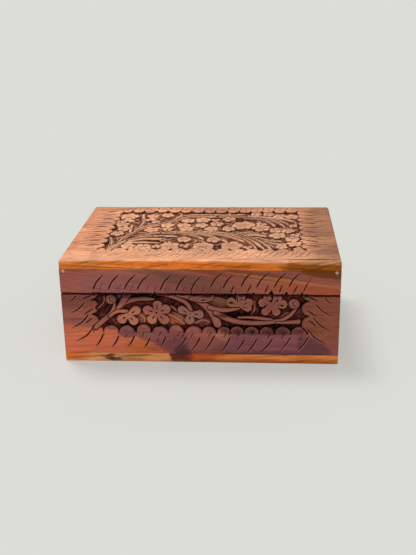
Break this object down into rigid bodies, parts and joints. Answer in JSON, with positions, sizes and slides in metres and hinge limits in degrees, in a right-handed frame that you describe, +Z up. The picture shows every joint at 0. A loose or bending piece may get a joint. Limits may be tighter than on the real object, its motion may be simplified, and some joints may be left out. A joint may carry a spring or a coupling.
{
  "type": "keepsake box",
  "caption": "Rectangular wooden keepsake box, walls and hinged lid carved with flowering vines inside a border of rounded leaf tips, opening on small brass butt hinges.",
  "frame": {"origin": "middle of the underside of the base board", "axes": "+X along the length to the right as seen from the front, +Y from the front face to the back, +Z up"},
  "size_m": [0.158, 0.11, 0.0625],
  "materials": {
    "carved_wood": "satin",
    "pale_wood": "satin",
    "hinge_brass": "satin",
    "nail_steel": "dull"
  },
  "bodies": {
    "box": {"base_board": "pale_wood", "front_wall": "carved_wood", "back_wall": "carved_wood", "left_wall": "carved_wood", "right_wall": "carved_wood", "wall_corner_nails": "nail_steel", "base_nails": "nail_steel", "left_hinge_body_leaf": "hinge_brass", "right_hinge_body_leaf": "hinge_brass", "left_hinge_pin": "hinge_brass", "right_hinge_pin": "hinge_brass", "left_hinge_body_screws": "hinge_brass", "right_hinge_body_screws": "hinge_brass"},
    "lid": {"lid_top_board": "carved_wood", "lid_front_rail": "carved_wood", "lid_back_rail": "carved_wood", "lid_left_rail": "carved_wood", "lid_right_rail": "carved_wood", "lid_corner_nails": "nail_steel", "left_hinge_lid_leaf": "hinge_brass", "right_hinge_lid_leaf": "hinge_brass", "left_hinge_lid_screws": "hinge_brass", "right_hinge_lid_screws": "hinge_brass"}
  },
  "joints": [
    {"name": "lid_hinge", "type": "hinge", "parent": "box", "child": "lid", "pos_m": [0, 0.053, 0.0423], "axis": [-1, 0, 0], "range_deg": [0, 100]}
  ]
}
